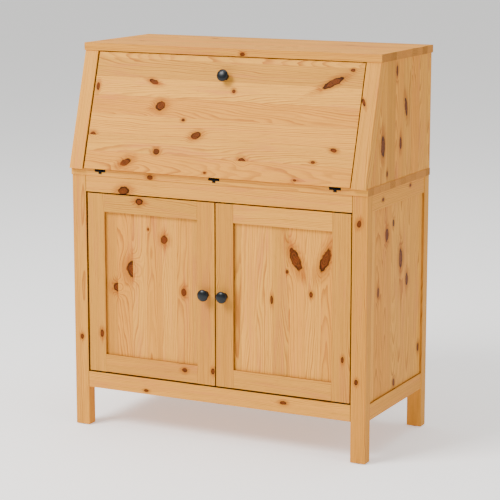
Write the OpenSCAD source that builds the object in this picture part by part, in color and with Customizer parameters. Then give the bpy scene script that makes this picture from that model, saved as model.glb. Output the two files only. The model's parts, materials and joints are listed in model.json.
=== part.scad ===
// Drop-front secretary desk in solid pine: a two-door cabinet on four legs,
// a slanted writing flap above it and a small letter unit inside.
// Millimetres, +Z up, front towards -Y, origin in the middle of the footprint on the floor.

/* [Overall] */
// Width of the top panel
desk_w = 890; // [750:10:1100]
// Height from the floor to the top of the top panel
desk_h = 1070; // [1030:10:1290]
// Depth over the legs, front face to rear face
body_d = 429; // [400:1:520]
// Height of the writing surface
writing_h = 732; // [600:1:760]
// Depth of the top panel
top_d = 359; // [320:1:365]

/* [Boards] */
// Thickness of the top panel
top_t = 21; // [15:1:28]
// Thickness of the desk board under the flap
board_t = 19; // [16:1:26]
// Thickness of the upper side panels
upper_side_t = 18; // [12:1:22]
// Thickness of the writing flap
flap_t = 16; // [12:0.1:20]
// Thickness of the two back panels
back_t = 8; // [5:1:12]
// Thickness of the lower side panels
side_panel_t = 10; // [8:1:12]
// Thickness of the cabinet floor and the shelf
shelf_t = 16; // [12:1:22]

/* [Frame] */
// Width of a leg, left to right
leg_w = 42.4; // [34:0.1:55]
// Depth of a leg, front to back
leg_d = 32; // [28:1:45]
// Width of a slanted post, left to right
post_w = 41.4; // [34:0.1:55]
// Depth of a slanted post, front to back along its normal
post_t = 32; // [26:1:40]
// Height of the rails
rail_h = 45; // [40:1:60]
// Thickness of the rails
rail_t = 20; // [16:1:24]
// Free height under the bottom rails
ground_clear = 112; // [60:1:160]

/* [Doors] */
// Width of the door stiles
stile_w = 53; // [40:1:75]
// Height of the door rails
door_rail_h = 50; // [40:1:75]
// Thickness of the door frames
door_t = 20; // [18:1:26]
// Thickness of the door panels
door_panel_t = 8; // [6:0.5:10]
// How far the door panels sit behind the face of the frames
door_panel_sink = 8; // [5:0.5:9]
// Gap around the doors
door_gap = 4; // [4:0.5:6]
// Gap between the two doors
meeting_gap = 3.5; // [2:0.5:6]

/* [Hardware] */
// Diameter of the knobs
knob_d = 32.5; // [24:0.5:42]
// How far a knob stands off its face
knob_out = 27; // [20:1:34]
// Diameter of the dowels
dowel_d = 8; // [6:1:10]
// Diameter of the door pivot pins
pivot_pin_d = 5; // [4:0.5:6]
// Width of a flap hinge
flap_hinge_w = 32; // [24:1:50]
// Diameter of a flap hinge's barrel
barrel_d = 5.5; // [5:0.5:7]
// Length of the rear stay arms, pin to pin
rear_arm_l = 152; // [130:1:180]

/* [Hidden] */
$fn = 48;
cut = 1;                 // cutters run this far past a face

// Clearances
fit_gap = 0.1;          // dowels, tongues and tubes in their holes and grooves
running_gap = 0.05;     // radial, a pin in the eye that turns on it
moving_gap = 0.6;       // between faces that meet without touching
end_gap = 1;            // at the blind end of a dowel hole
flap_side_gap = 3.5;    // flap to slanted post
flap_sink = 2.5;        // flap face behind the face of the posts
flap_bottom_gap = 2;    // under the flap when it is shut
flap_top_gap = 1.2;     // above the flap as it swings past the top panel
door_sink = 2.5;        // door face behind the face of the legs

// Overhangs and insets
top_over_side = 2;      // top panel past the sides
top_over_back = 7.5;    // top panel past the legs at the back
top_over_front = 2.7;   // top panel past the posts
board_over_side = 1.3;  // desk board past the sides
board_over_front = 2.5; // desk board past the legs
board_over_back = 1.7;
post_over = 13;         // foot of the posts past the desk board
side_rail_inset = 1.5;  // side rails behind the side of the legs
side_panel_inset = 5;   // side panels behind the side rails
back_inset = 2;         // upper back panel in from the back edge
lower_back_inset = 6;   // lower back panel in from the rear rails
tongue = 6;             // panels and rails into their grooves
edge_r = 1.2;           // softened long edges

// Widths
side_x = desk_w / 2 - top_over_side;       // outer face of legs and sides
leg_in_x = side_x - leg_w;                 // inner face of the legs
post_in_x = side_x - post_w;               // inner face of the posts
upper_in_x = side_x - upper_side_t;        // inner face of the upper sides
rail_out_x = side_x - side_rail_inset;     // outer face of the side rails
panel_out_x = rail_out_x - side_panel_inset;

// Depths: the box runs from the tips of the door knobs to the back of the top panel
total_d = top_over_back + body_d - door_sink + knob_out;
top_back_y = total_d / 2;
top_front_y = top_back_y - top_d;
body_back_y = top_back_y - top_over_back;
body_front_y = body_back_y - body_d;
leg_back_y = body_front_y + leg_d;         // rear face of the front legs
rear_leg_y = body_back_y - leg_d;          // front face of the rear legs
board_front_y = body_front_y - board_over_front;
board_back_y = body_back_y + board_over_back;
upper_back_y = body_back_y + board_over_back;
post_foot_y = board_front_y - post_over;
post_head_y = top_front_y + top_over_front;
door_front_y = body_front_y + door_sink;
door_back_y = door_front_y + door_t;

// Heights
glide_t = 2;
glide_edge = 4;                            // glides in from the faces of the legs
top_under_z = desk_h - top_t;
board_under_z = writing_h - board_t;
rail_top_z = board_under_z - rail_h;       // underside of the top rails
floor_rail_z = ground_clear + rail_h;      // top of the bottom rails
upper_h = top_under_z - writing_h;
slant = atan((post_head_y - post_foot_y) / upper_h);
post_run = post_t / cos(slant);            // post depth measured level

// Flap, around its hinge axis
barrel_sink = 4.5;                         // hinge axis below the writing surface
flap_out = flap_t - barrel_sink;           // flap face in front of the axis
flap_in = barrel_sink;                     // writing face behind the axis
pivot_z = writing_h - barrel_sink;
pivot_y = post_foot_y + (flap_out + flap_sink - barrel_sink * sin(slant)) / cos(slant);
flap_half_w = post_in_x - flap_side_gap;
flap_reach = norm([top_under_z - flap_top_gap - pivot_z, max(0, top_front_y - pivot_y)]);
flap_head = sqrt(pow(flap_reach, 2) - pow(flap_out, 2));
flap_knob_drop = 54;                       // knob below the head of the flap
flap_knob_s = flap_head - flap_knob_drop;
swing = 90 + slant;                        // shut to level
hinge_in = 46;                             // outer hinges in from the ends of the flap
hinge_x = [for (i = [-1, 0, 1]) i * (flap_half_w - hinge_in)];
barrel_gap = 0.4;                          // between knuckles
leaf_t = 1.5;
pin_d = 2.6;
stem_w = 9;
stem_drop = 8;

// Flap stays: two arms a side, in layers from the post inwards
stay_t = 2;
stay_w = 14;
stay_pin_d = 5;
flange_d = 34;                             // foot of a wall post
flange_t = 2;
stay_layer = 0.5;                          // between arms
stay_post_off = 4.5;                       // rear arms in from the slanted posts
stay_lug = 12;                             // lug's pin above the writing face
stay_s = 155;                              // lug's pin along the flap from the hinge axis
stay_wall_back = 137;                      // wall pin behind the hinge axis
stay_wall_up = 62;                         // wall pin above the hinge axis
stay_wall = [pivot_y + stay_wall_back, pivot_z + stay_wall_up];
rear_arm_x = post_in_x - stay_post_off;    // outer face of the rear arms
front_arm_x = rear_arm_x - stay_t - stay_layer;
lug_x = front_arm_x - stay_t - stay_layer;

// A point on the flap, s up the slope from the hinge axis and n out from it
function flap_pt(s, n) = [pivot_y + s * sin(slant) - n * cos(slant),
                          pivot_z + s * cos(slant) + n * sin(slant)];
// The same point with the flap open
function open_pt(s, n) = [pivot_y - s, pivot_z - n];
function foot_s(n) = (writing_h + flap_bottom_gap - pivot_z - n * sin(slant)) / cos(slant);

lug_shut = flap_pt(stay_s, -flap_in - stay_lug);
lug_open = open_pt(stay_s, -flap_in - stay_lug);
arm_spare = 3;                             // the stay's slack when the flap is level
front_arm_l = norm(lug_open - stay_wall) + arm_spare - rear_arm_l;
stay_span = lug_shut - stay_wall;
stay_cos = (pow(rear_arm_l, 2) + pow(norm(stay_span), 2) - pow(front_arm_l, 2))
           / (2 * rear_arm_l * norm(stay_span));
rear_arm_deg = atan2(stay_span[1], stay_span[0]) - acos(stay_cos);
elbow = stay_wall + rear_arm_l * [cos(rear_arm_deg), sin(rear_arm_deg)];

// Doors
meet_x = meeting_gap / 2;                  // meeting edge of a door
door_out_x = leg_in_x - door_gap;
door_foot_z = floor_rail_z + door_gap;
door_head_z = rail_top_z - door_gap;
door_panel_y = door_front_y + door_panel_sink;
knob_in = stile_w / 2;                     // knob from the meeting edge
knob_z = (door_foot_z + door_head_z) / 2;
pivot_in = 11;                             // door pivot from the outer edge
pivot_back = 9;                            // door pivot behind the door face
pivot_x = door_out_x - pivot_in;
door_pivot_y = door_front_y + pivot_back;
// The back corner of a door's outer edge swings this far into the cabinet
inside_y = door_pivot_y + norm([pivot_in, door_t - pivot_back]) + moving_gap;
plate_t = 1.2;
spigot_d = 8;                              // knob spigot in its face
spigot_l = 10;
plate_l = 48;
plate_w = 12;
plate_edge = 3;                            // plate from the door's outer edge
pin_reach = 10;                            // pin inside the door
// The cabinet floor laps the front rail with a lip that runs under the doors' plates
floor_lip_t = door_gap - plate_t - moving_gap;
floor_lip_y = door_pivot_y + plate_w / 2 + moving_gap;
tube_wall = 1.5;
tube_d = pivot_pin_d + 2 * running_gap + 2 * tube_wall;
tube_l = pin_reach + 2;
strike_t = 1.5;
strike_drop = 8;                           // strike plates below the head of the doors
strike_h = 18;

// Interior
letter_side_gap = 24;                      // beside the letter unit, for the stays
letter_half_w = post_in_x - letter_side_gap;
letter_d = 180;
letter_h = 150;
letter_t = 12;
letter_front_y = upper_back_y - back_inset - back_t - letter_d;
shelf_z = (floor_rail_z + shelf_t + rail_top_z) / 2;
shelf_gap = 1.5;                           // shelf to legs
cleat_h = 20;                              // cleats that carry the shelf
cleat_lap = 16;                            // width of a cleat under the shelf
dowel_l = 30;
dowel_pitch = 16;                          // two dowels in a rail end

// Dowels, each [centre, turn]
rail_mid_z = [board_under_z - rail_h / 2, ground_clear + rail_h / 2];
pair = [-dowel_pitch / 2, dowel_pitch / 2];
cross_dowels = [for (s = [-1, 1], y = [body_front_y + rail_t / 2, body_back_y - rail_t / 2],
                     z = rail_mid_z, dz = pair) [[s * leg_in_x, y, z + dz], [0, 90, 0]]];
side_dowels = [for (s = [-1, 1], y = [leg_back_y, rear_leg_y], z = rail_mid_z, dz = pair)
               [[s * (rail_out_x - rail_t / 2), y, z + dz], [90, 0, 0]]];
leg_head_dowels = [for (s = [-1, 1], y = [leg_back_y - leg_d / 2, rear_leg_y + leg_d / 2])
                   [[s * (side_x - leg_w / 2), y, board_under_z], [0, 0, 0]]];
dowel_edge = 30;                           // first dowel from the end of an upper side
function spread(a, b) = [a + dowel_edge, (a + b) / 2, b - dowel_edge];
upper_foot_dowels = [for (s = [-1, 1], y = spread(post_foot_y + post_run, upper_back_y))
                     [[s * (side_x - upper_side_t / 2), y, writing_h], [0, 0, 0]]];
upper_head_dowels = [for (s = [-1, 1], y = spread(post_head_y + post_run, upper_back_y))
                     [[s * (side_x - upper_side_t / 2), y, top_under_z], [0, 0, 0]]];

// Colours
pine = "#E2B57C";
pine_dark = "#D2A068";
black = "#1E2A33";
steel = "#9A9DA0";
beech = "#CFA877";

// ---- Shapes ----

module rounded(w, h) {
    translate([edge_r, 0]) square([w - 2 * edge_r, h]);
    translate([0, edge_r]) square([w, h - 2 * edge_r]);
    for (x = [edge_r, w - edge_r], y = [edge_r, h - edge_r])
        translate([x, y]) circle(edge_r);
}

// A board from one corner to the other, its long edges softened along one axis
module bar(low, high, along) {
    size = high - low;
    translate(low)
        if (along == "x") rotate([90, 0, 90]) linear_extrude(size[0]) rounded(size[1], size[2]);
        else if (along == "y")
            translate([0, size[1], 0]) rotate([90, 0, 0])
                linear_extrude(size[1]) rounded(size[0], size[2]);
        else linear_extrude(size[2]) rounded(size[0], size[1]);
}

module block(low, high) {
    translate(low) cube(high - low);
}

// An outline of [y, z] points carried from x0 to x1
module slab(x0, x1, outline) {
    translate([x0, 0, 0]) rotate([90, 0, 90]) linear_extrude(x1 - x0) polygon(outline);
}

// The left-hand twin of a right-hand piece
module hand(side) {
    if (side < 0) mirror([1, 0, 0]) children();
    else children();
}

// Hinge axis of the flap, Y into the desk and Z up the slope
module on_flap() {
    translate([0, pivot_y, pivot_z]) rotate([-slant, 0, 0]) children();
}

module dowels(places, d = dowel_d, l = dowel_l) {
    for (p = places) translate(p[0]) rotate(p[1]) cylinder(d = d, h = l, center = true);
}

module dowel_holes(places) {
    dowels(places, dowel_d + 2 * fit_gap, dowel_l + 2 * end_gap);
}

module knob() {
    head_r = knob_d / 2;
    dome = knob_d / 4;                     // half the thickness of the head
    base_r = knob_d * 0.29;
    base_t = 2.5;
    neck = -70;                            // where the head meets the neck
    rotate_extrude($fn = 96)
        polygon(concat([[0, 0], [base_r, 0], [base_r, base_t]],
                       [for (a = [neck:5:90])
                            [head_r * cos(a), knob_out - dome + dome * sin(a)]]));
    translate([0, 0, -spigot_l]) cylinder(d = spigot_d, h = spigot_l + cut);
}

module spigot_hole() {
    translate([0, 0, -spigot_l - end_gap])
        cylinder(d = spigot_d + 2 * fit_gap, h = spigot_l + end_gap + cut);
}

// ---- Upper case ----

module top_panel() {
    color(pine) difference() {
        bar([-desk_w / 2, top_front_y, top_under_z], [desk_w / 2, top_back_y, desk_h], "x");
        dowel_holes(upper_head_dowels);
    }
}

module upper_side(side) {
    color(pine_dark) difference() {
        hand(side) slab(upper_in_x, side_x,
                        [[post_foot_y + post_run, writing_h], [upper_back_y, writing_h],
                         [upper_back_y, top_under_z], [post_head_y + post_run, top_under_z]]);
        dowel_holes(upper_foot_dowels);
        dowel_holes(upper_head_dowels);
    }
}

module slant_post(side) {
    long = upper_h / cos(slant) + 2 * post_t;
    color(pine) hand(side) intersection() {
        translate([0, post_foot_y, writing_h]) rotate([-slant, 0, 0])
            bar([post_in_x, 0, -post_t], [side_x, post_t, long - post_t], "z");
        block([0, post_foot_y - post_t, writing_h], [desk_w, top_back_y, top_under_z]);
    }
}

module upper_back_panel() {
    color(pine_dark)
        block([-upper_in_x, upper_back_y - back_inset - back_t, writing_h],
              [upper_in_x, upper_back_y - back_inset, top_under_z]);
}

// Batten under the top panel that the shut flap leans on
module flap_stop_rail() {
    drop = 30;
    depth = 20;
    foot = flap_pt((top_under_z - drop - pivot_z) / cos(slant), -flap_in - moving_gap);
    head = flap_pt((top_under_z - pivot_z) / cos(slant), -flap_in - moving_gap);
    color(pine_dark) slab(-post_in_x, post_in_x,
                          [[foot[0], top_under_z - drop], [foot[0] + depth, top_under_z - drop],
                           [head[0] + depth, top_under_z], [head[0], top_under_z]]);
}

module desk_board() {
    low_x = side_x + board_over_side;
    hinge_half = flap_hinge_w / 2 + moving_gap;
    barrel_r = barrel_d / 2 + moving_gap;
    color(pine) difference() {
        bar([-low_x, board_front_y, board_under_z], [low_x, board_back_y, writing_h], "x");
        dowel_holes(leg_head_dowels);
        dowel_holes(upper_foot_dowels);
        for (x = hinge_x)
            block([x - hinge_half, board_front_y - cut, pivot_z - barrel_r],
                  [x + hinge_half, pivot_y + barrel_r, writing_h + cut]);
    }
}

// ---- Writing flap ----

module writing_flap() {
    outline = [flap_pt(foot_s(flap_out), flap_out), flap_pt(foot_s(-flap_in), -flap_in),
               flap_pt(flap_head, -flap_in), flap_pt(flap_head, flap_out)];
    color(pine) difference() {
        intersection() {
            slab(-flap_half_w, flap_half_w, outline);
            on_flap() bar([-flap_half_w, -flap_out, -flap_t],
                          [flap_half_w, flap_in, flap_head + flap_t], "z");
        }
        on_flap() translate([0, -flap_out, flap_knob_s]) rotate([90, 0, 0]) spigot_hole();
    }
}

module flap_knob() {
    color(black) on_flap() translate([0, -flap_out, flap_knob_s]) rotate([90, 0, 0]) knob();
}

module along_x(x0, x1, d) {
    translate([x0, 0, 0]) rotate([0, 90, 0]) cylinder(d = d, h = x1 - x0);
}

// Middle knuckle with its stem down the front of the desk board
module flap_hinge_board_leaves() {
    half = stem_w / 2;
    color(black) for (x = hinge_x) difference() {
        union() {
            translate([0, pivot_y, pivot_z]) along_x(x - half, x + half, barrel_d);
            block([x - half, board_front_y - leaf_t, pivot_z - stem_drop],
                  [x + half, board_front_y, pivot_z]);
        }
        translate([0, pivot_y, pivot_z]) along_x(x - half - cut, x + half + cut,
                                                 pin_d + 2 * running_gap);
    }
}

// Two outer knuckles under a plate let against the foot of the flap
module flap_hinge_flap_leaves() {
    half = flap_hinge_w / 2;
    inner = stem_w / 2 + barrel_gap;
    web_t = 2.2;
    plate_front = 6.5;
    plate_back = 4.5;
    plate_z = writing_h + flap_bottom_gap - leaf_t;
    color(black) for (x = hinge_x) difference() {
        union() {
            for (s = [-1, 1]) {
                a = min(s * inner, s * half);
                b = max(s * inner, s * half);
                translate([x, pivot_y, pivot_z]) along_x(a, b, barrel_d);
                block([x + a, pivot_y - web_t / 2, pivot_z],
                      [x + b, pivot_y + web_t / 2, plate_z + leaf_t / 2]);
            }
            block([x - half, pivot_y - plate_front, plate_z],
                  [x + half, pivot_y + plate_back, plate_z + leaf_t]);
        }
        translate([x, pivot_y, pivot_z]) along_x(-half - cut, half + cut,
                                                 pin_d + 2 * running_gap);
    }
}

module flap_hinge_pins() {
    color(black) for (x = hinge_x)
        translate([x, pivot_y, pivot_z]) along_x(-flap_hinge_w / 2, flap_hinge_w / 2, pin_d);
}

// ---- Flap stays ----

// A flat arm of length l along Y, eyes at both ends, x measured from its outer face inwards
module stay_arm(l, head_out) {
    eye = stay_pin_d + 2 * running_gap;
    waist = stay_w / 2 - 2;                // the arms are narrower than their eyes
    rivet_d = 8;
    rivet_h = 1.2;
    difference() {
        union() {
            along_x(-stay_t, 0, stay_w);
            translate([0, l, 0]) along_x(-stay_t, 0, stay_w);
            block([-stay_t, 0, -waist], [0, l, waist]);
            translate([0, l, 0])
                along_x(head_out ? -stay_t : -stay_t - rivet_h, head_out ? rivet_h : 0, rivet_d);
        }
        along_x(-stay_t - cut, cut, eye);
    }
}

module stay_rear_arm(side) {
    color(steel) hand(side)
        translate([rear_arm_x, stay_wall[0], stay_wall[1]]) rotate([rear_arm_deg, 0, 0])
            stay_arm(rear_arm_l, true);
}

module stay_front_arm(side) {
    d = elbow - lug_shut;
    color(steel) hand(side)
        translate([front_arm_x, lug_shut[0], lug_shut[1]]) rotate([atan2(d[1], d[0]), 0, 0])
            stay_arm(front_arm_l, false);
}

module stay_wall_posts() {
    color(steel) for (s = [-1, 1]) hand(s) translate([0, stay_wall[0], stay_wall[1]]) {
        along_x(upper_in_x - flange_t, upper_in_x, flange_d);
        along_x(rear_arm_x + stay_layer, upper_in_x, stay_w);
        along_x(rear_arm_x - stay_t - stay_layer / 2, upper_in_x, stay_pin_d);
    }
}

// Angle plates on the writing face, each with the pin of a front arm
module stay_flap_lugs() {
    foot_w = 24;
    color(steel) for (s = [-1, 1]) hand(s) on_flap() translate([lug_x, flap_in, stay_s]) {
        block([-foot_w, 0, -stay_w], [0, leaf_t, stay_w]);
        block([-stay_t, 0, -stay_w / 2], [0, stay_lug, stay_w / 2]);
        translate([0, stay_lug, 0]) along_x(-stay_t, 0, stay_w);
        translate([0, stay_lug, 0]) along_x(-stay_t, stay_t + 1.5 * stay_layer, stay_pin_d);
    }
}

// ---- Letter unit ----

module letter_board(x0, x1, z0, z1) {
    color(pine_dark) block([x0, letter_front_y, z0], [x1, letter_front_y + letter_d, z1]);
}

module letter_shelf() {
    letter_board(-letter_half_w, letter_half_w,
                 writing_h + letter_h, writing_h + letter_h + letter_t);
}

module letter_ends() {
    for (s = [-1, 1]) hand(s)
        letter_board(letter_half_w - letter_t, letter_half_w, writing_h, writing_h + letter_h);
}

module letter_divider() {
    letter_board(-letter_t / 2, letter_t / 2, writing_h, writing_h + letter_h);
}

// ---- Frame ----

// A lower side panel in its grooves, or with extra room all round the cutter for them
module side_panel_body(side, extra = 0) {
    hand(side)
        block([panel_out_x - side_panel_t - extra, leg_back_y - tongue - extra,
               floor_rail_z - tongue - extra],
              [panel_out_x + extra, rear_leg_y + tongue + extra, rail_top_z + tongue + extra]);
}

module side_panel(side) {
    color(pine_dark) side_panel_body(side);
}

module leg(side, y) {
    color(pine) difference() {
        hand(side) bar([leg_in_x, y, glide_t], [side_x, y + leg_d, board_under_z], "z");
        dowel_holes(cross_dowels);
        dowel_holes(side_dowels);
        dowel_holes(leg_head_dowels);
        side_panel_body(side, fit_gap);
    }
}

// A rail across the desk
module cross_rail(y, z) {
    color(pine) difference() {
        bar([-leg_in_x, y, z], [leg_in_x, y + rail_t, z + rail_h], "x");
        dowel_holes(cross_dowels);
    }
}

// A rail from a front leg to a rear one
module side_rail(side, z) {
    color(pine_dark) difference() {
        hand(side) bar([rail_out_x - rail_t, leg_back_y, z],
                       [rail_out_x, rear_leg_y, z + rail_h], "y");
        dowel_holes(side_dowels);
        side_panel_body(side, fit_gap);
    }
}

module lower_back_panel() {
    color(pine_dark)
        block([-leg_in_x, body_back_y - lower_back_inset - back_t, floor_rail_z],
              [leg_in_x, body_back_y - lower_back_inset, rail_top_z]);
}

module foot_glides() {
    color("dimgray") for (s = [-1, 1], y = [body_front_y, rear_leg_y])
        translate([s * (side_x - leg_w / 2), y + leg_d / 2, 0])
            cylinder(d = leg_d - 2 * glide_edge, h = glide_t);
}

module frame_dowels() {
    color(beech) dowels(concat(cross_dowels, side_dowels, leg_head_dowels,
                               upper_foot_dowels, upper_head_dowels));
}

// ---- Cabinet ----

// Rests on the bottom rails, notched round the front legs
module cabinet_floor() {
    wide = panel_out_x - side_panel_t - fit_gap;
    narrow = leg_in_x - fit_gap;
    color(pine_dark) {
        translate([0, 0, floor_rail_z]) linear_extrude(shelf_t)
            polygon([[-narrow, inside_y], [narrow, inside_y], [narrow, leg_back_y + fit_gap],
                     [wide, leg_back_y + fit_gap], [wide, rear_leg_y - fit_gap],
                     [-wide, rear_leg_y - fit_gap], [-wide, leg_back_y + fit_gap],
                     [-narrow, leg_back_y + fit_gap]]);
        block([-narrow, floor_lip_y, floor_rail_z],
              [narrow, inside_y + cut, floor_rail_z + floor_lip_t]);
    }
}

module cabinet_shelf() {
    half = leg_in_x - shelf_gap;
    back = body_back_y - lower_back_inset - back_t - shelf_gap;
    color(pine_dark) bar([-half, inside_y, shelf_z],
                         [half, back, shelf_z + shelf_t], "x");
}

module shelf_cleats() {
    wall = panel_out_x - side_panel_t;
    color(pine_dark) for (s = [-1, 1]) hand(s)
        bar([leg_in_x - shelf_gap - cleat_lap, leg_back_y, shelf_z - cleat_h],
            [wall, rear_leg_y, shelf_z], "y");
}

// ---- Doors, built on the right and mirrored for the left ----

// The panel in its grooves, or the cutter for them; full height for the stiles
module door_panel_body(extra = 0, full = 0) {
    low_z = door_foot_z + door_rail_h - tongue;
    high_z = door_head_z - door_rail_h + tongue;
    block([meet_x + stile_w - tongue - extra, door_panel_y - extra, low_z - extra - full],
          [door_out_x - stile_w + tongue + extra, door_panel_y + door_panel_t + extra,
           high_z + extra + full]);
}

module door_panel(side) {
    color(pine) hand(side) door_panel_body();
}

module door_rail(side, z) {
    color(pine) hand(side) difference() {
        union() {
            bar([meet_x + stile_w, door_front_y, z],
                [door_out_x - stile_w, door_back_y, z + door_rail_h], "x");
            block([meet_x + stile_w - tongue, door_panel_y, z],
                  [door_out_x - stile_w + tongue, door_panel_y + door_panel_t, z + door_rail_h]);
        }
        door_panel_body(fit_gap);
    }
}

module door_meeting_stile(side) {
    color(pine) hand(side) difference() {
        bar([meet_x, door_front_y, door_foot_z], [meet_x + stile_w, door_back_y, door_head_z], "z");
        door_panel_body(fit_gap, door_rail_h);
        translate([meet_x + knob_in, door_front_y, knob_z]) rotate([90, 0, 0]) spigot_hole();
    }
}

module door_hinge_stile(side) {
    color(pine) hand(side) difference() {
        bar([door_out_x - stile_w, door_front_y, door_foot_z],
            [door_out_x, door_back_y, door_head_z], "z");
        door_panel_body(fit_gap, door_rail_h);
        at_pivots() translate([0, 0, -tube_l - end_gap])
            cylinder(d = tube_d + 2 * fit_gap, h = tube_l + end_gap + cut);
    }
}

module door_knob(side) {
    color(black) hand(side)
        translate([meet_x + knob_in, door_front_y, knob_z]) rotate([90, 0, 0]) knob();
}

// Top and bottom pivots, Z out of the door from its end
module at_pivots() {
    translate([pivot_x, door_pivot_y, door_head_z]) children();
    translate([pivot_x, door_pivot_y, door_foot_z]) mirror([0, 0, 1]) children();
}

module pivot_plate(z) {
    translate([0, 0, z])
        block([pivot_in - plate_edge - plate_l, -plate_w / 2, 0],
              [pivot_in - plate_edge, plate_w / 2, plate_t]);
}

// Plates on the rails, each with its pin
module door_pivot_pins() {
    color(black) for (s = [-1, 1]) hand(s) at_pivots() {
        pivot_plate(door_gap - plate_t);
        translate([0, 0, -pin_reach])
            cylinder(d = pivot_pin_d, h = pin_reach + door_gap - plate_t / 2);
    }
}

// Plates on the ends of a door, each with the tube that turns on a pin
module door_pivots(side) {
    color(black) hand(side) at_pivots() difference() {
        union() {
            pivot_plate(0);
            translate([0, 0, -tube_l]) cylinder(d = tube_d, h = tube_l + plate_t / 2);
        }
        translate([0, 0, -tube_l - cut])
            cylinder(d = pivot_pin_d + 2 * running_gap, h = tube_l + plate_t + 2 * cut);
    }
}

module door_strike(side) {
    color(steel) hand(side)
        block([meet_x + strike_drop, door_back_y, door_head_z - strike_drop - strike_h],
              [meet_x + stile_w - strike_drop, door_back_y + strike_t, door_head_z - strike_drop]);
}

// Magnet block behind the top rail, reaching down behind both doors
module door_catch() {
    half_w = stile_w;
    deep = 12;
    lap = 30;                              // height held against the rail
    rail_y = body_front_y + rail_t;
    face_y = door_back_y + strike_t + moving_gap;
    step_z = rail_top_z + moving_gap;
    low_z = door_head_z - strike_drop - strike_h;
    color("ivory") slab(-half_w, half_w,
                        [[rail_y, step_z], [rail_y, step_z + lap], [face_y + deep, step_z + lap],
                         [face_y + deep, low_z], [face_y, low_z], [face_y, step_z]]);
}

top_panel();
upper_side(-1);  // upper_side_left
upper_side(1);  // upper_side_right
slant_post(-1);  // slant_post_left
slant_post(1);  // slant_post_right
upper_back_panel();
flap_stop_rail();
desk_board();
writing_flap();
flap_knob();
flap_hinge_board_leaves();
flap_hinge_flap_leaves();
flap_hinge_pins();
stay_wall_posts();
stay_flap_lugs();
stay_rear_arm(-1);  // stay_rear_arm_left
stay_rear_arm(1);  // stay_rear_arm_right
stay_front_arm(-1);  // stay_front_arm_left
stay_front_arm(1);  // stay_front_arm_right
letter_shelf();
letter_ends();
letter_divider();
leg(-1, body_front_y);  // leg_front_left
leg(1, body_front_y);  // leg_front_right
leg(-1, rear_leg_y);  // leg_rear_left
leg(1, rear_leg_y);  // leg_rear_right
cross_rail(body_front_y, rail_top_z);  // front_top_rail
cross_rail(body_front_y, ground_clear);  // front_bottom_rail
cross_rail(body_back_y - rail_t, rail_top_z);  // rear_top_rail
cross_rail(body_back_y - rail_t, ground_clear);  // rear_bottom_rail
side_rail(-1, rail_top_z);  // side_top_rail_left
side_rail(1, rail_top_z);  // side_top_rail_right
side_rail(-1, ground_clear);  // side_bottom_rail_left
side_rail(1, ground_clear);  // side_bottom_rail_right
side_panel(-1);  // side_panel_left
side_panel(1);  // side_panel_right
lower_back_panel();
cabinet_floor();
cabinet_shelf();
shelf_cleats();
frame_dowels();
foot_glides();
door_pivot_pins();
door_catch();
door_hinge_stile(-1);  // door_left_hinge_stile
door_meeting_stile(-1);  // door_left_meeting_stile
door_rail(-1, door_head_z - door_rail_h);  // door_left_top_rail
door_rail(-1, door_foot_z);  // door_left_bottom_rail
door_panel(-1);  // door_left_panel
door_knob(-1);  // door_left_knob
door_pivots(-1);  // door_left_pivots
door_strike(-1);  // door_left_strike
door_hinge_stile(1);  // door_right_hinge_stile
door_meeting_stile(1);  // door_right_meeting_stile
door_rail(1, door_head_z - door_rail_h);  // door_right_top_rail
door_rail(1, door_foot_z);  // door_right_bottom_rail
door_panel(1);  // door_right_panel
door_knob(1);  // door_right_knob
door_pivots(1);  // door_right_pivots
door_strike(1);  // door_right_strike
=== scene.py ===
import json
import math
from functools import partial
import bpy
import numpy as np
from mathutils import Matrix, Vector


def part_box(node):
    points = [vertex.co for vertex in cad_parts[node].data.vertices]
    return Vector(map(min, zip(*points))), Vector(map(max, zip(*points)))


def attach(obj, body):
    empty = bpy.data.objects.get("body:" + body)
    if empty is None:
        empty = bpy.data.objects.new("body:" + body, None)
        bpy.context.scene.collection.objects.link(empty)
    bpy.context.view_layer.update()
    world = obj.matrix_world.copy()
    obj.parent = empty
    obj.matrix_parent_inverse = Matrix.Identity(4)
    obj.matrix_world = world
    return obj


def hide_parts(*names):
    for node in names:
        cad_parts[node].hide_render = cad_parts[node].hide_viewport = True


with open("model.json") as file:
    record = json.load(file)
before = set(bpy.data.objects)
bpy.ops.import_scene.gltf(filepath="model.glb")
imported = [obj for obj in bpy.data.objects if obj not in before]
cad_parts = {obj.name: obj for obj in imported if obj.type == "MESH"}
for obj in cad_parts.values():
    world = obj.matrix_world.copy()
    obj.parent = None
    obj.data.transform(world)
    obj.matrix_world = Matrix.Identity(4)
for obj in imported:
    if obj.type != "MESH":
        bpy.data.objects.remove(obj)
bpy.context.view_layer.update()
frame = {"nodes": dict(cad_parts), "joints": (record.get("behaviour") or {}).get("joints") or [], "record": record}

nodes = frame["nodes"]
joints = {joint["name"]: joint for joint in frame["joints"]}
mm = 0.001

slant = math.radians(joints["flap_hinge"]["range_deg"][1] - 90)   # lean of the shut flap
upSlope = (0, math.sin(slant), math.cos(slant))
outOfSlope = (0, -math.cos(slant), math.sin(slant))
level, inward, upright = (1, 0, 0), (0, 1, 0), (0, 0, 1)


def toLinear(hexColour):
    # each sRGB channel c becomes c / 12.92 when it is dark, else ((c + 0.055) / 1.055) ^ 2.4
    srgb = np.array([int(hexColour[i:i + 2], 16) for i in (1, 3, 5)]) / 255
    linear = np.where(srgb <= 0.04045, srgb / 12.92, ((srgb + 0.055) / 1.055) ** 2.4)
    return (*linear, 1)


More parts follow.
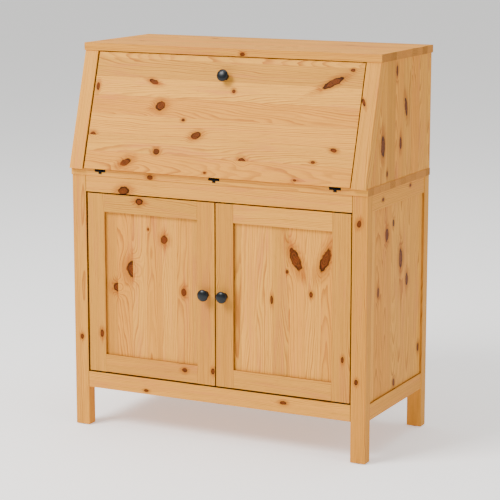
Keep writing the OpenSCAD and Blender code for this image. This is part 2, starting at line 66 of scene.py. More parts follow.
def add(tree, kind, *inputs, out=0, **settings):
    # adds one node with its settings and links; a kind in capitals is what a Math node does.
    # Inputs come in order, or by name in one dictionary. It returns one output, or all if
    # out is None.
    if kind.isupper():
        kind, settings["operation"] = "Math", kind
    made = tree.nodes.new("ShaderNode" + kind)
    for name, value in settings.items():
        setattr(made, name, value)
    byName = inputs and isinstance(inputs[0], dict)
    for key, value in (inputs[0] if byName else dict(enumerate(inputs))).items():
        if isinstance(value, bpy.types.NodeSocket):
            tree.links.new(value, made.inputs[key])
        else:
            made.inputs[key].default_value = value
    return made.outputs if out is None else made.outputs[out]


def newGroup(name, inputs, outputs):
    # an empty node group with its sockets, and its two end nodes
    tree = bpy.data.node_groups.new(name, "ShaderNodeTree")
    for side, sockets in (("INPUT", inputs), ("OUTPUT", outputs)):
        for title, kind in sockets.items():
            tree.interface.new_socket(title, in_out=side, socket_type="NodeSocket" + kind)
    return tree, tree.nodes.new("NodeGroupInput").outputs, tree.nodes.new("NodeGroupOutput").inputs


def newMaterial(name):
    made = bpy.data.materials.new(name)
    made.use_nodes = True
    tree = made.node_tree
    return made, tree, tree.nodes["Principled BSDF"]


def dress(nodeName, material):
    slots = nodes[nodeName].data.materials
    slots.clear()
    slots.append(material)


# Knotty Scots pine, planed, glued up from strips and sprayed with clear satin lacquer:
# pale springwood, thin brown summerwood lines, red-brown knots, a soft broad sheen.

pine = {
    "spring": "#DD9C3E",       # wide pale part of a year ring
    "summer": "#9A5320",       # thin dark part
    "blush": "#C47640",        # reddish streaks
    "honey": "#D68C32",        # yellower boards
    "halo": "#8E4218",         # resin round a knot
    "knot": "#3C1C0F",
    "knotRim": "#180904",
    "endGrain": "#B07438",     # sawn ends, duller and browner
    "ringWidth": 3.6,          # mm, a year of growth
    "fibreWidth": 0.6,         # mm, drawn coarser than real fibres so that they show
    "roughness": 0.42,
    "specular": 0.03,
    "gapShade": "#5C4A4A",     # painted shade: multiplies the narrow edges that stand beside a gap, and the joint lines
}


farAway = 90.0             # in knot sizes, where a knot leaves no mark


def makeKnotGroup():
    # distance: length of the knot's own coordinates, 1 at its rim
    # push: fibres part round the knot, minus y times width times 0.8 exp(-0.4 d^2)
    # bulge: year rings rise round it by 1.3 widths times exp(-0.4 d^2)
    # trail: the same length with x times 0.3, 1 where dark streaks along the grain run out
    # cut: 1 or -1 keeps the half with y above or below 0, where a glue line halves the knot
    tree, given, result = newGroup(
        "pineKnot", {"Vector": "Vector", "Width": "Float", "Wobble": "Float", "Cut": "Float"},
        {"Distance": "Float", "Push": "Float", "Bulge": "Float", "Trail": "Float"})

    node = partial(add, tree)
    length = node("VectorMath", given["Vector"], out="Value", operation="LENGTH")
    fade = node("EXPONENT", node("MULTIPLY", node("MULTIPLY", length, length), -0.4))
    across = node("SeparateXYZ", {0: given["Vector"]}, out="Y")
    reach = node("MULTIPLY", fade, given["Width"])
    longer = node("VectorMath", given["Vector"], (0.3, 1, 1), operation="MULTIPLY")
    hidden = node("LESS_THAN", node("MULTIPLY", across, given["Cut"]), -0.01)
    shown = node("MULTIPLY_ADD", hidden, farAway, length)
    tree.links.new(node("VectorMath", longer, out="Value", operation="LENGTH"), result["Trail"])
    tree.links.new(node("ADD", shown, given["Wobble"]), result["Distance"])
    tree.links.new(node("MULTIPLY", node("MULTIPLY", across, reach), -0.8), result["Push"])
    tree.links.new(node("MULTIPLY", reach, 1.3), result["Bulge"])
    return tree


def makePineGroup():
    # x runs along the grain, y across it and z through the board, in millimetres
    tree, given, result = newGroup(
        "pineWood",
        {"Vector": "Vector", "Strip": "Float", "Seed": "Float", "Knot": "Float", "Push": "Float",
         "Bulge": "Float", "Trail": "Float", "Pins": "Float", "End": "Float",
         "Gap": "Float", "Half": "Float"},
        {"Color": "Color", "Roughness": "Float", "Height": "Float"})

    node = partial(add, tree)
    smooth = {"interpolation_type": "SMOOTHSTEP"}   # 0 at the second input, 1 at the third
    paint = {"data_type": "RGBA", "out": 2}         # 0: how much, 6: under, 7: over

    def cloud(x, y, z, detail=2.0, rough=0.5):
        # noise around zero
        value = node("TexNoise", {"Vector": node("CombineXYZ", x, y, z), "Scale": 1.0,
                                  "Detail": detail, "Roughness": rough})
        return node("SUBTRACT", value, 0.5)

    x, y, z = node("SeparateXYZ", given["Vector"], out=None)

    # every strip of the glued-up board is cut from another place in another log
    place = node("ADD", node("DIVIDE", y, given["Strip"]), node("MULTIPLY", given["Seed"], 0.37))
    strip = node("FLOOR", place)
    inStrip = node("SUBTRACT", node("FRACT", place), 0.5)
    dice = node("TexWhiteNoise", {"Vector": node("CombineXYZ", strip, given["Seed"], 0.5)},
                out="Color", noise_dimensions="3D")
    luckA, luckB, luckC = node("SeparateColor", dice, out=None)

    yLocal = node("ADD", node("MULTIPLY", inStrip, given["Strip"]),
                  node("MULTIPLY_ADD", luckA, 110.0, -55.0))
    yBent = node("ADD", yLocal, given["Push"])
    lean = node("MULTIPLY", x, node("MULTIPLY_ADD", luckC, 0.14, -0.07))
    zLocal = node("ADD", node("ADD", z, lean), node("MULTIPLY_ADD", luckB, 60.0, 14.0))
    along = node("ADD", x, node("MULTIPLY", luckC, 4000.0))

    # year rings: distance from the pith, bent by slow and quick noise
    slow = cloud(node("DIVIDE", along, 420.0), node("DIVIDE", yBent, 60.0),
                 node("DIVIDE", zLocal, 60.0))
    quick = cloud(node("DIVIDE", along, 75.0), node("DIVIDE", yBent, 13.0),
                  node("DIVIDE", zLocal, 13.0))
    radius = node("SQRT",
                  node("ADD", node("MULTIPLY", yBent, yBent), node("MULTIPLY", zLocal, zLocal)))
    radius = node("ADD", node("ADD", radius, node("MULTIPLY", slow, 30.0)),
                  node("MULTIPLY_ADD", quick, 3.0, given["Bulge"]))
    year = node("DIVIDE", radius, pine["ringWidth"])
    phase = node("FRACT", year)
    yearDice = node("TexWhiteNoise", {"W": node("FLOOR", year)}, noise_dimensions="1D")
    summer = node("MULTIPLY", node("MapRange", phase, 0.35, 0.9, **smooth),
                  node("SUBTRACT", 1.0, node("MapRange", phase, 0.92, 1.0, **smooth)))
    summer = node("MULTIPLY", summer, node("MULTIPLY_ADD", yearDice, 0.75, 0.25))

    fibre = cloud(node("DIVIDE", along, 28.0), node("DIVIDE", y, pine["fibreWidth"]),
                  node("DIVIDE", z, pine["fibreWidth"]), 3.0, 0.6)
    streak = cloud(node("DIVIDE", along, 190.0), node("DIVIDE", yBent, 7.0),
                   node("DIVIDE", zLocal, 7.0), 3.0, 0.6)
    patch = cloud(node("DIVIDE", along, 260.0), node("DIVIDE", yBent, 45.0),
                  node("DIVIDE", zLocal, 45.0))

    wood = node("Mix",
                {0: node("MULTIPLY", luckC, 0.75), 6: toLinear(pine["spring"]),
                 7: toLinear(pine["honey"])}, **paint)
    wood = node("Mix", {0: node("MULTIPLY", summer, 0.7), 6: wood, 7: toLinear(pine["summer"])},
                **paint)
    blush = node("MapRange", node("ADD", patch, streak), 0.02, 0.32, **smooth)
    wood = node("Mix", {0: node("MULTIPLY", blush, 0.5), 6: wood, 7: toLinear(pine["blush"])},
                **paint)
    duct = cloud(node("DIVIDE", along, 60.0), node("DIVIDE", yBent, 1.3),
                 node("DIVIDE", zLocal, 1.3), 1.0)
    wood = node("Mix",
                {0: node("MULTIPLY", node("MapRange", duct, 0.16, 0.26, **smooth), 0.4), 6: wood,
                 7: toLinear(pine["halo"])}, **paint)
    tone = node("ADD", node("MULTIPLY_ADD", luckA, 0.26, 0.84),
                node("MULTIPLY_ADD", fibre, 0.36, node("MULTIPLY", streak, 0.34)))
    wood = node("Mix",
                {0: 1.0, 6: wood, 7: node("CombineColor", tone, tone, tone)},
                **paint, blend_type="MULTIPLY")

    # a hair line where two strips are glued
    edge = node("ABSOLUTE", inStrip)
    glue = node("MapRange", node("MULTIPLY", node("SUBTRACT", 0.5, edge), given["Strip"]), 0.7,
                0.1, **smooth)
    wood = node("Mix", {0: node("MULTIPLY", glue, 0.45), 6: wood, 7: toLinear(pine["summer"])},
                **paint)

    # scattered small knots, one in some of the cells of a stretched Voronoi pattern
    spot = node("CombineXYZ", node("ADD", node("DIVIDE", x, 210.0), given["Seed"]),
                node("ADD", node("DIVIDE", y, 95.0), given["Seed"]))
    cells = node("TexVoronoi", {"Vector": spot, "Scale": 1.0}, out=None,
                 voronoi_dimensions="2D")
    cellDice = node("SeparateColor", cells["Color"], out=None)
    size = node("MULTIPLY_ADD", cellDice[0], 0.07, 0.03)
    absent = node("GREATER_THAN", cellDice[1], 0.6)
    pin = node("ADD", node("DIVIDE", cells["Distance"], size),
               node("MULTIPLY", node("MAXIMUM", absent, node("SUBTRACT", 1.0, given["Pins"])),
                    farAway))
    knot = node("MINIMUM", pin, given["Knot"])

    rough = node("ADD", knot, node("MULTIPLY", quick, 0.35))
    core = node("MapRange", rough, 1.06, 0.92, **smooth)
    rim = node("MULTIPLY", node("MapRange", rough, 0.62, 0.92, **smooth),
               node("MapRange", rough, 1.16, 0.96, **smooth))
    rim = node("MULTIPLY", rim, node("MapRange", node("ADD", slow, quick), -0.2, 0.12, **smooth))
    halo = node("MapRange", node("ADD", rough, node("MULTIPLY", streak, 2.0)), 2.8, 0.9, **smooth)
    growth = node("FRACT", node("MULTIPLY", rough, 3.2))
    heart = node("Mix",
                 {0: node("MULTIPLY", node("ADD", growth, node("MULTIPLY", streak, 1.6)), 0.55),
                  6: toLinear(pine["knot"]), 7: toLinear(pine["halo"])}, **paint)
    wood = node("Mix", {0: node("MULTIPLY", halo, 0.5), 6: wood, 7: toLinear(pine["halo"])},
                **paint)
    trail = node("MULTIPLY", node("MapRange", given["Trail"], 1.3, 0.5, **smooth),
                 node("MapRange", node("ADD", streak, node("MULTIPLY", fibre, 0.6)), 0.0, 0.12,
                      **smooth))
    wood = node("Mix", {0: node("MULTIPLY", trail, 0.6), 6: wood, 7: toLinear(pine["halo"])},
                **paint)
    wood = node("Mix", {0: node("MULTIPLY", core, 0.92), 6: wood, 7: heart}, **paint)
    wood = node("Mix", {0: node("MULTIPLY", rim, 0.85), 6: wood, 7: toLinear(pine["knotRim"])},
                **paint)

    # sawn ends are duller, each strip a little different, with rings across them
    block = node("FLOOR", node("MULTIPLY", place, 1.7))
    ends = node("TexWhiteNoise", {"Vector": node("CombineXYZ", block, given["Seed"], 2.5)},
                noise_dimensions="3D")
    ends = node("ADD", node("MULTIPLY_ADD", ends, 0.5, 0.7), node("MULTIPLY", summer, -0.35))
    ends = node("Mix",
                {0: 1.0, 6: toLinear(pine["endGrain"]),
                 7: node("CombineColor", ends, ends, ends)}, **paint,
                blend_type="MULTIPLY")
    wood = node("Mix", {0: node("MULTIPLY", given["End"], 0.8), 6: wood, 7: ends}, **paint)

    # painted shade: a fine line at each end of a jointed rail, and darker edges beside a gap
    # a fine line of painted shade in the joint crack at each end of a jointed rail
    joint = node("MapRange", node("SUBTRACT", given["Half"], node("ABSOLUTE", x)), 1.8, 0.5,
                 **smooth)
    wood = node("Mix", {0: node("MULTIPLY", joint, 0.85), 6: wood, 7: toLinear(pine["gapShade"])},
                **paint, blend_type="MULTIPLY")
    # painted shade on the edges beside a gap, where the mask reaches
    wood = node("Mix", {0: given["Gap"], 6: wood, 7: toLinear(pine["gapShade"])}, **paint,
                blend_type="MULTIPLY")

    tree.links.new(wood, result["Color"])
    tree.links.new(node("ADD", node("MULTIPLY_ADD", fibre, 0.18, pine["roughness"]),
                        node("MULTIPLY_ADD", given["End"], 0.18, node("MULTIPLY", core, -0.08))),
                   result["Roughness"])
    tree.links.new(node("ADD", node("MULTIPLY_ADD", fibre, 0.5, node("MULTIPLY", summer, 0.35)),
                        node("MULTIPLY_ADD", glue, -1.0, node("MULTIPLY", rim, -0.5))),
                   result["Height"])
    return tree


knotGroup = makeKnotGroup()
pineGroup = makePineGroup()


def paintedGapShadeMask(tree, spot, gap):
    # painted shade on edges square to the given face, and inside a box given in m
    face, low, high, strength = gap
    lean = add(tree, "VectorMath", spot.outputs["Normal"], face, out="Value",
               operation="DOT_PRODUCT")
    edge = add(tree, "LESS_THAN", add(tree, "ABSOLUTE", lean), 0.35)
    away = add(tree, "VectorMath", spot.outputs["Object"], (low + high) / 2, operation="SUBTRACT")
    away = add(tree, "VectorMath", add(tree, "VectorMath", away, operation="ABSOLUTE"),
               (high - low) / 2, operation="SUBTRACT")
    x, y, z = add(tree, "SeparateXYZ", away, out=None)
    most = add(tree, "MAXIMUM", add(tree, "MAXIMUM", x, y), z)
    inside = add(tree, "LESS_THAN", most, 0.0)
    return add(tree, "MULTIPLY", add(tree, "MULTIPLY", edge, inside), strength)


def addKnots(tree, board, knots):
    # nearest distance and trail, and the sum of push and bulge, of all the knots of a board
    wobble = add(tree, "TexNoise", {"Vector": board, "Scale": 0.09, "Detail": 2.0})
    wobble = add(tree, "MULTIPLY_ADD", wobble, 0.7, -0.35)
    nearest, push, bulge, trail = farAway, 0.0, 0.0, farAway
    for x, y, z, longHalf, wideHalf, deepHalf, tilt, half in knots:
        own = add(tree, "Mapping", {"Vector": board, "Location": (x, y, z),
                                    "Rotation": (0, 0, math.radians(tilt)),
                                    "Scale": (longHalf, wideHalf, deepHalf)},
                  vector_type="TEXTURE")
        marks = add(tree, "Group", {"Vector": own, "Wobble": wobble, "Cut": half,
                                    "Width": min(wideHalf, deepHalf)},
                    node_tree=knotGroup, out=None)
        nearest = add(tree, "MINIMUM", marks["Distance"], nearest)
        push = add(tree, "ADD", marks["Push"], push)
        bulge = add(tree, "ADD", marks["Bulge"], bulge)
        trail = add(tree, "MINIMUM", marks["Trail"], trail)
    return {"Knot": nearest, "Push": push, "Bulge": bulge, "Trail": trail}


def makePine(name, centre, along, across, strip, seed, knots, pins, halfLength, gap):
    # a board's own coordinates: millimetres from its centre, x along the grain
    made, tree, shader = newMaterial("lacqueredPine_" + name)
    along, across = Vector(along).normalized(), Vector(across).normalized()
    turn = Matrix((along, across, along.cross(across))).transposed().to_euler()
    spot = tree.nodes.new("ShaderNodeTexCoord")
    board = add(tree, "Mapping", {"Vector": spot.outputs["Object"], "Location": centre,
                                  "Rotation": turn, "Scale": (mm, mm, mm)}, vector_type="TEXTURE")
    lean = add(tree, "VectorMath", spot.outputs["Normal"], along, out="Value",
               operation="DOT_PRODUCT")
    end = add(tree, "MapRange",
              {"Value": add(tree, "ABSOLUTE", lean), "From Min": 0.6, "From Max": 0.9})
    wood = add(tree, "Group", {
        "Vector": board, "Strip": strip, "Seed": seed, "Pins": pins, "Half": halfLength,
        "End": end, "Gap": paintedGapShadeMask(tree, spot, gap) if gap else 0.0,
        **addKnots(tree, board, knots)}, node_tree=pineGroup, out=None)
    bump = add(tree, "Bump", {"Height": wood["Height"], "Strength": 0.35,
                              "Distance": 0.25 * mm})
    tree.links.new(wood["Color"], shader.inputs["Base Color"])
    tree.links.new(wood["Roughness"], shader.inputs["Roughness"])
    tree.links.new(bump, shader.inputs["Normal"])
    shader.inputs["Specular IOR Level"].default_value = pine["specular"]
    return made


whole = 400                # mm, wider than any single piece, so that no glue line falls on it

# grain direction, direction across it, and strip width in mm
cuts = {
    "lyingBoard": (level, inward, 62),
    "crossRail": (level, upright, whole),
    "sideRail": (inward, upright, whole),
    "frontPost": (upright, level, whole),
    "frontPanel": (upright, level, 47),
    "sideBoard": (upright, inward, 56),
    "slope": (upSlope, level, whole),
    "flap": (level, upSlope, 52),
}
endless = 1e6              # mm, a knot that runs right through its board


def knotAt(x, y, longHalf, wideHalf, tilt=0, z=0, deepHalf=endless, cut=0):
    # mm from the board's middle, along and across the grain
    return x, y, z, longHalf, wideHalf, deepHalf, tilt, cut


knotsOf = {
    "top_panel": [knotAt(45, -180, 7, 6, 0, -4, 5), knotAt(250, 60, 12, 5, 8),
                  knotAt(-190, 110, 9, 6), knotAt(-330, -60, 7, 4)],
    "desk_board": [knotAt(-195, -217, 9, 8, 0, -2, 6), knotAt(300, -60, 10, 6)],
    "writing_flap": [knotAt(-185, 19, 15, 12, 20), knotAt(-110, -16, 5, 4),
                     knotAt(-65, -56, 14, 9, 20), knotAt(-180, -106, 9, 8),
                     knotAt(-270, -141, 18, 9, 25), knotAt(-384, -71, 9, 8, cut=1),
                     knotAt(-388, 64, 5, 11), knotAt(-215, 84, 14, 6, -15),
                     knotAt(30, 69, 5, 5), knotAt(80, -116, 10, 8, cut=1),
                     knotAt(-25, -154, 4, 3), knotAt(365, 140, 6, 4),
                     knotAt(315, 105, 32, 8, 28), knotAt(340, -71, 9, 5, -10),
                     knotAt(285, -106, 6, 4), knotAt(240, -156, 5, 3)],
    "slant_post_right": [knotAt(55, -15, 10, 4, -25)],
    "slant_post_left": [],     # clear wood
    "front_top_rail": [knotAt(-280, -13, 17, 11, 10)],
    "front_bottom_rail": [knotAt(205, 5, 9, 5), knotAt(-215, -12, 7, 4)],
    "leg_front_left": [knotAt(-102, 2, 7, 5)],
    "side_top_rail_right": [knotAt(-109, 0, 6, 5), knotAt(80, 12, 6, 4)],
    "leg_front_right": [knotAt(283, -2, 9, 6, 15), knotAt(-137, -6, 7, 5)],
    "leg_rear_right": [knotAt(-242, 4, 6, 4)],
    "door_left_top_rail": [knotAt(-34, 11, 11, 9)],
    "door_left_bottom_rail": [knotAt(104, 8, 8, 6)],
    "door_left_hinge_stile": [knotAt(-142, 14, 10, 6)],
    "door_left_meeting_stile": [knotAt(-212, 20, 8, 5)],
    "door_right_hinge_stile": [knotAt(-137, 5, 8, 4)],
    "door_left_panel": [knotAt(162, -11, 4, 3), knotAt(137, 39, 12, 10),
                        knotAt(47, -60, 22, 20, 0, cut=-1), knotAt(-8, -108, 13, 15, cut=-1),
                        knotAt(-3, 99, 11, 8)],
    "door_right_panel": [knotAt(117, 36, 31, 13, -26), knotAt(122, 121, 31, 12, 24),
                         knotAt(27, 81, 7, 5), knotAt(2, -34, 12, 4), knotAt(82, 11, 5, 4)],
    "upper_side_right": [knotAt(129, -38, 13, 6), knotAt(30, 27, 24, 8, -14),
                         knotAt(-60, -128, 27, 12), knotAt(-65, -8, 16, 8),
                         knotAt(-135, -98, 8, 5)],
    "side_panel_right": [knotAt(177, -68, 17, 11), knotAt(202, -23, 9, 6),
                         knotAt(97, 31, 25, 11), knotAt(32, 76, 16, 9), knotAt(32, -123, 14, 7),
                         knotAt(-177, 166, 11, 7), knotAt(-237, -8, 10, 7)],
}


def cutOf(name):
    if name in ("top_panel", "desk_board", "cabinet_floor", "cabinet_shelf", "letter_shelf"):
        return "lyingBoard"
    if name == "writing_flap":
        return "flap"
    if name.startswith("slant_post"):
        return "slope"
    if name.startswith(("side_top_rail", "side_bottom_rail", "shelf_cleats")):
        return "sideRail"
    if name.startswith(("side_panel", "upper_side", "letter_")):
        return "sideBoard"
    if name.endswith(("door_left_panel", "door_right_panel", "back_panel")):
        return "frontPanel"
    if name.startswith("leg") or name.endswith("stile"):
        return "frontPost"
    return "crossRail"


# how strong the painted shade on the edges beside a gap is, from 0 to 1
paintedGapShadeTone = {"door": 0.45, "meetingStile": 0.6, "slope": 0.6, "frontFrame": 0.8,
           "rearLeg": 0.25, "sideRail": 0.5}
flapFoot = 12 * mm         # the flap's lowest edge, which stays pale, free of the painted shade


def paintedGapShadeOf(name):
    # face direction, the box in m that holds the edges with painted shade, and how dark that shade is
    low, high = (np.array(corner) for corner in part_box(name))
    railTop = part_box("front_bottom_rail")[1][2]
    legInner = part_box("front_top_rail")[1][0]
    low, high = low - mm, high + mm
    if name.startswith("door_"):
        return inward, low, high, paintedGapShadeTone["meetingStile" if "meeting" in name else "door"]
    if name.startswith("slant_post"):
        low[0], high[0] = max(low[0], -legInner - 2 * mm), min(high[0], legInner + 2 * mm)
        return outOfSlope, low, high, paintedGapShadeTone["slope"]
    if name == "writing_flap":
        low[2] += flapFoot
        return outOfSlope, low, high, paintedGapShadeTone["slope"]
    if name.startswith("leg_front"):
        low[0], high[0] = max(low[0], -legInner - mm), min(high[0], legInner + mm)
        low[2] = railTop
        return inward, low, high, paintedGapShadeTone["frontFrame"]
    if name.startswith("leg_rear"):
        high[1], low[2] = low[1] + 2 * mm, railTop
        return level, low, high, paintedGapShadeTone["rearLeg"]
    if name == "front_bottom_rail":
        low[2] = railTop - mm
        return inward, low, high, paintedGapShadeTone["frontFrame"]
    if name.startswith(("side_top_rail", "side_bottom_rail")):
        low[2] = railTop - mm
        return level, low, high, paintedGapShadeTone["sideRail"]
    return None


slotOf = {part["node"]: part["material_slot"] for part in frame["record"]["subparts"]}
for number, name in enumerate(sorted(nodes)):
    if slotOf[name] != "pine":
        continue
    low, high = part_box(name)
    along, across, strip = cuts[cutOf(name)]
    reach = (Vector(high) - Vector(low)).dot(Vector(along)) / 2 / mm
    # door and front rails get the line of painted shade at their jointed ends
    jointed = name.endswith("rail") and name.startswith(("door_", "front_"))
    # boards without knots of their own get scattered pin knots
    pins = 0.0 if name in knotsOf else 1.0
    dress(name, makePine(name, (low + high) / 2, along, across, strip, number + 1,
                         knotsOf.get(name, []), pins, reach if jointed else endless,
                         paintedGapShadeOf(name)))
print("pine on every board")


def makePlain(name, colour, darker, roughness, metallic, grain, bumpHeight, specular=0.5):
    # one finish with a fine mottle: colour and roughness drift with a noise of the given grain
    made, tree, shader = newMaterial(name)
    spot = tree.nodes.new("ShaderNodeTexCoord").outputs["Object"]
    fine = add(tree, "TexNoise", {"Vector": spot, "Scale": 1 / (grain * mm), "Detail": 4.0})
    broad = add(tree, "TexNoise", {"Vector": spot, "Scale": 1 / (22 * mm), "Detail": 2.0})
    mixed = add(tree, "Mix", {0: broad, 6: toLinear(colour), 7: toLinear(darker)}, out=2,
                data_type="RGBA")
    tree.links.new(mixed, shader.inputs["Base Color"])
    tree.links.new(add(tree, "MULTIPLY_ADD", fine, 0.16, roughness - 0.08),
                   shader.inputs["Roughness"])
    tree.links.new(add(tree, "Bump", {"Height": fine, "Strength": 0.3,
                                      "Distance": bumpHeight * mm}), shader.inputs["Normal"])
    shader.inputs["Metallic"].default_value = metallic
    shader.inputs["Specular IOR Level"].default_value = specular
    return made


finishes = {
    # turned knob, blue-black enamel with a satin skin that catches a soft light
    "knob": makePlain("satinEnamel", "#0B1216", "#070C10", 0.34, 0.0, 0.8, 0.04, 0.3),
    # stamped hinge, matt black powder coat, almost no light comes back
    "hinge": makePlain("powderCoat", "#080809", "#050505", 0.7, 0.0, 0.5, 0.05, 0.12),
    # stamped stay, zinc plated, a grey metal with a slight cloud
    "steel": makePlain("zincPlate", "#B9BCBE", "#A3A6A9", 0.36, 1.0, 1.2, 0.02),
    # planed beech, unfinished
    "dowel": makePlain("rawBeech", "#D3AE83", "#C39C70", 0.7, 0.0, 0.6, 0.1),
    # pressed wool felt, grey and quite matt
    "glide": makePlain("pressedFelt", "#4A4540", "#3A3632", 0.95, 0.0, 0.7, 0.4),
    # moulded nylon, off-white, slightly glossy
    "catch": makePlain("mouldedNylon", "#DAD6CB", "#CFCABE", 0.5, 0.0, 1.0, 0.05),
}
for name in nodes:
    if slotOf[name] in finishes:
        dress(name, finishes[slotOf[name]])
print("finishes on the hardware")


knob = {
    "out": 27.0,               # mm from the face to the crown
    "headRadius": 16.25,
    "headRise": 7.6,           # widest point of the head below the crown
    "neckRadius": 5.8,
    "neckHeight": 10.5,
    "footRadius": 9.4,
    "footHeight": 2.4,
    "spigotRadius": 4.0,       # the part inside the wood
    "spigotLength": 10.0,
}


def meshPiece(name, points, faces, material, body):
    # a piece whose points already stand where they belong, in metres
    mesh = bpy.data.meshes.new(name)
    mesh.from_pydata(points.tolist(), [], faces)
    mesh.polygons.foreach_set("use_smooth", np.ones(len(mesh.polygons), dtype=bool))
    mesh.update()
    piece = bpy.data.objects.new(name, mesh)
    bpy.context.scene.collection.objects.link(piece)
    mesh.materials.append(material)
    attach(piece, body)
    return piece


def standingOn(points, place, outward):
    # turns millimetre points whose z is outward, and puts their origin at place
    z = np.array(outward, dtype=float)
    x = np.array([1.0, 0.0, 0.0]) if abs(z[0]) < 0.9 else np.array([0.0, 1.0, 0.0])
    y = np.cross(z, x)
    y /= np.linalg.norm(y)
    x = np.cross(y, z)
    return points * mm @ np.array([x, y, z]) + np.array(place)


def ringFaces(rings, turns):
    # quads between neighbouring rings, and a fan at each end from two points that follow them
    row, column = np.divmod(np.arange((rings - 1) * turns), turns)
    after = (column + 1) % turns
    walls = np.column_stack((row * turns + column, (row + 1) * turns + column,
                             (row + 1) * turns + after, row * turns + after))
    spin = np.arange(turns)
    following = (spin + 1) % turns
    outer = (rings - 1) * turns
    inner = np.column_stack((np.full(turns, rings * turns), spin, following))
    foot = np.column_stack((np.full(turns, rings * turns + 1), outer + following,
                            outer + spin))
    return walls.tolist() + inner.tolist() + foot.tolist()


def knobProfile(steps=14):
    # radius and height from the crown to the spigot: a quarter ellipse for the crown, a
    # quarter ellipse under the head, a cosine sweep from neck to foot, then the rounded foot
    t = np.linspace(0, np.pi / 2, steps)
    widest = knob["out"] - knob["headRise"]
    under = widest - knob["neckHeight"]
    crown = np.column_stack((knob["headRadius"] * np.sin(t),
                             widest + knob["headRise"] * np.cos(t)))
    cup = np.column_stack((
        knob["neckRadius"] + (knob["headRadius"] - knob["neckRadius"]) * np.cos(t),
        widest - under * np.sin(t) ** 1.4))
    sweep = (1 - np.cos(np.linspace(0, np.pi, steps))) / 2
    neck = np.column_stack((
        knob["neckRadius"] + (knob["footRadius"] - 0.6 - knob["neckRadius"]) * sweep ** 1.6,
        knob["neckHeight"] + (knob["footHeight"] - knob["neckHeight"])
        * np.linspace(0, 1, steps)))
    foot = np.array([[knob["footRadius"], knob["footHeight"] - 0.6], [knob["footRadius"], 0],
                     [knob["spigotRadius"], 0], [knob["spigotRadius"], -knob["spigotLength"]]])
    return np.vstack((crown[1:], cup[1:], neck[1:], foot))


def turned(profile, turns=72):
    # the profile carried round z: x = radius cos(angle), y = radius sin(angle), z = height,
    # closed by a fan at each end
    angle = np.linspace(0, 2 * np.pi, turns, endpoint=False)
    radius, height = profile[:, :1], profile[:, 1:]
    rings = np.stack((radius * np.cos(angle), radius * np.sin(angle),
                      np.broadcast_to(height, (len(profile), turns))), axis=2).reshape(-1, 3)
    points = np.vstack((rings, [[0, 0, profile[0, 1] + 0.02], [0, 0, profile[-1, 1]]]))
    return points, ringFaces(len(profile), turns)


def makeKnob(cadName, body, outward):
    # the crown is the CAD knob's furthest vertex, and the foot stands that far behind it
    mesh = nodes[cadName].data
    spots = np.empty(len(mesh.vertices) * 3)
    mesh.vertices.foreach_get("co", spots)
    spots = spots.reshape(-1, 3)
    outward = np.array(outward)
    crown = spots[np.argmax(spots @ outward)]
    points, faces = turned(knobProfile())
    piece = meshPiece("turned_" + cadName,
                      standingOn(points, crown - outward * knob["out"] * mm, outward), faces,
                      finishes["knob"], body)
    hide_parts(cadName)


makeKnob("door_left_knob", "door_left", (0, -1, 0))
makeKnob("door_right_knob", "door_right", (0, -1, 0))
makeKnob("flap_knob", "flap", outOfSlope)
print("knobs turned")


screw = {
    "radius": 3.2,             # mm, pan head
    "rise": 1.3,               # crown above the plate
    "slotHalf": 0.45,          # half width of the cross
    "slotReach": 2.0,          # half length of the cross
    "slotDeep": 0.8,
    "strikeInset": 6.0,        # from the ends of a door's strike plate
}
stayPlate = {
    "flange": 2.0,             # mm, thickness of a wall post's foot
    "ring": 12.2,              # its screws from the middle
    "inward": 18.0,            # lug screws from the end of the lug's pin
    "along": (147.0, 163.0),   # up the flap from the hinge axis
    "behind": 6.0,             # face of the angle plate behind that axis
}


def screwHead(rings=11, turns=48):
    # a polar grid: height = rise (1 - r^2)^0.6, less the slot depth inside a cross, with a
    # ring at the foot, so that the head stands on its plate
    share = np.linspace(0.06, 1, rings)[:, None]
    angle = np.linspace(0, 2 * np.pi, turns, endpoint=False)
    x, y = screw["radius"] * share * np.cos(angle), screw["radius"] * share * np.sin(angle)
    height = np.broadcast_to(screw["rise"] * (1 - share ** 2) ** 0.6, x.shape)
    narrow, wide = np.minimum(abs(x), abs(y)), np.maximum(abs(x), abs(y))
    cross = (narrow < screw["slotHalf"]) & (wide < screw["slotReach"])
    height = np.maximum(height - cross * screw["slotDeep"], 0)
    grid = np.stack((x, y, height), axis=2).reshape(-1, 3)
    middle = [[0, 0, screw["rise"] - screw["slotDeep"]], [0, 0, 0]]
    return np.vstack((grid, middle)), ringFaces(rings, turns)


def makeScrews(name, places, outward, material, body):
    # all the screws of one plate are one piece
    head, faces = screwHead()
    points = np.vstack([standingOn(head, place, outward) for place in places])
    count = len(head)
    allFaces = [[corner + copy * count for corner in face]
                for copy in range(len(places)) for face in faces]
    meshPiece(name, points, allFaces, material, body)


def spread(low, high, axis, inset):
    # two places on the middle line of a box, inset from its ends along one axis
    middle = (np.array(low) + np.array(high)) / 2
    places = [middle.copy(), middle.copy()]
    places[0][axis], places[1][axis] = low[axis] + inset, high[axis] - inset
    return places


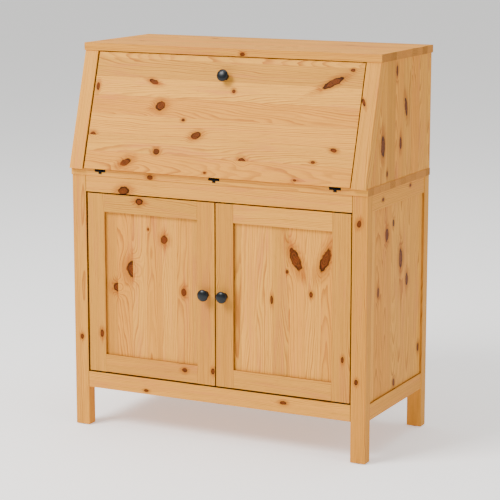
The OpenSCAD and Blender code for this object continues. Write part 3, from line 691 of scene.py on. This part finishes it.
for side, sign in (("left", -1), ("right", 1)):
    low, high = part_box("door_" + side + "_strike")
    places = spread(low, high, 0, screw["strikeInset"] * mm)
    for place in places:
        place[1] = high[1]
    makeScrews("strike_screws_" + side, places, (0, 1, 0), finishes["steel"],
               "door_" + side)

    # three round the foot of each wall post
    low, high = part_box("stay_wall_posts")
    centre = np.array((sign * (high[0] - stayPlate["flange"] * mm), (low[1] + high[1]) / 2,
                       (low[2] + high[2]) / 2))
    turn = np.radians([90, 210, 330])
    ring = np.column_stack((0 * turn, np.cos(turn), np.sin(turn))) * stayPlate["ring"] * mm
    makeScrews("wall_post_screws_" + side, centre + ring, (-sign, 0, 0), finishes["steel"],
               "carcass")

    # two through each angle plate on the writing face
    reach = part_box("stay_flap_lugs")[1][0] - stayPlate["inward"] * mm
    axis = np.array(joints["flap_hinge"]["pos_m"])
    behind = -stayPlate["behind"] * mm * np.array(outOfSlope)
    places = [axis + np.array((sign * reach, 0, 0)) + along * mm * np.array(upSlope) + behind
              for along in stayPlate["along"]]
    makeScrews("lug_screws_" + side, places, tuple(-np.array(outOfSlope)), finishes["steel"],
               "flap")
print("screws driven")


studio = {
    "floor": "#F4F3F1",
    "floorGlow": 0.55,         # white paper, partly lit from behind
    "sky": "#FFFFFF",
    "skyStrength": 0.5,
}
lamps = {
    # name: place in m, where it points, power in W, size in m
    "keyLight": ((-2.2, -3.4, 4.4), (0, 0, 0.6), 440.0, 2.4),
    "topLight": ((0.2, 0.6, 5.0), (0, 0.5, 0), 150.0, 4.0),
    "fillLight": ((3.6, -1.2, 1.8), (0, 0, 0.5), 25.0, 2.0),
}
camera = {
    "place": (2.294, -4.556, 1.475),
    "pitch": 10.8,             # degrees below the horizon
    "yaw": 26.7,               # degrees to the left of straight on
    "lens": 134.7,             # mm on a 36 mm sensor
}


def makeFloor():
    bpy.ops.mesh.primitive_circle_add(vertices=96, radius=60, fill_type="NGON")
    floor = bpy.context.object
    floor.name = "studioFloor"
    made, tree, shader = newMaterial("paleFloor")
    spot = tree.nodes.new("ShaderNodeTexCoord").outputs["Object"]
    soft = add(tree, "TexNoise", {"Vector": spot, "Scale": 2.0, "Detail": 3.0})
    shader.inputs["Base Color"].default_value = toLinear(studio["floor"])
    tree.links.new(add(tree, "MULTIPLY_ADD", soft, 0.1, 0.75), shader.inputs["Roughness"])
    shader.inputs["Emission Color"].default_value = toLinear(studio["floor"])
    shader.inputs["Emission Strength"].default_value = studio["floorGlow"]
    floor.data.materials.append(made)


def makeLamp(name, place, target, power, size):
    light = bpy.data.lights.new(name, "AREA")
    light.energy, light.size = power, size
    lamp = bpy.data.objects.new(name, light)
    bpy.context.scene.collection.objects.link(lamp)
    lamp.location = place
    lamp.rotation_euler = (Vector(target) - Vector(place)).to_track_quat("-Z", "Y").to_euler()


def makeWorld():
    world = bpy.data.worlds.new("studioSky")
    world.use_nodes = True
    sky = world.node_tree.nodes["Background"]
    sky.inputs["Color"].default_value = toLinear(studio["sky"])
    sky.inputs["Strength"].default_value = studio["skyStrength"]
    bpy.context.scene.world = world


def makeCamera():
    lens = bpy.data.cameras.new("camera")
    lens.lens, lens.sensor_width = camera["lens"], 36
    eye = bpy.data.objects.new("camera", lens)
    bpy.context.scene.collection.objects.link(eye)
    eye.location = camera["place"]
    eye.rotation_euler = (math.radians(90 - camera["pitch"]), 0, math.radians(camera["yaw"]))
    bpy.context.scene.camera = eye


makeFloor()
for name, (place, target, power, size) in lamps.items():
    makeLamp(name, place, target, power, size)
makeWorld()
makeCamera()
print("floor, light and camera ready")
